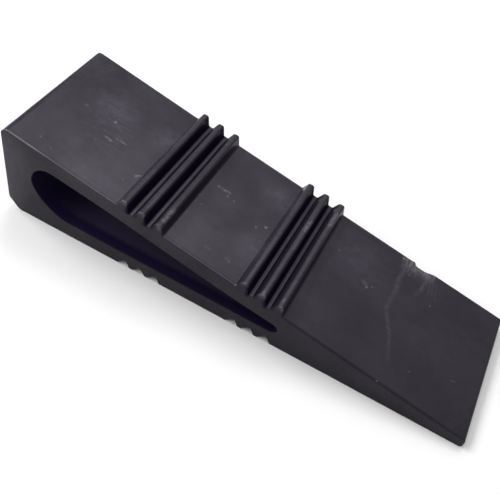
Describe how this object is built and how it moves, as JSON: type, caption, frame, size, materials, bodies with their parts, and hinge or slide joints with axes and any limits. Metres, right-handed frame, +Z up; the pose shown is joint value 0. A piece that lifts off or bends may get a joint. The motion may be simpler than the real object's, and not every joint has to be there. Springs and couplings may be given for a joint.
{
  "type": "levelling ramp",
  "caption": "One-piece moulded plastic levelling wedge with a sloped top, grouped tread ribs, a grooved flat base and a long tapering slot through its sides.",
  "frame": {"origin": "middle of the underside's rectangle, on the surface that the ramp stands on", "axes": "+X from the tall heel to the thin toe, +Y across the width, +Z up"},
  "size_m": [0.1502, 0.0468, 0.0301],
  "materials": {
    "black_plastic": "satin black moulded plastic, slightly mottled, with pale scuffs"
  },
  "bodies": {
    "root": {"wedge_body": "black_plastic"}
  },
  "joints": []
}
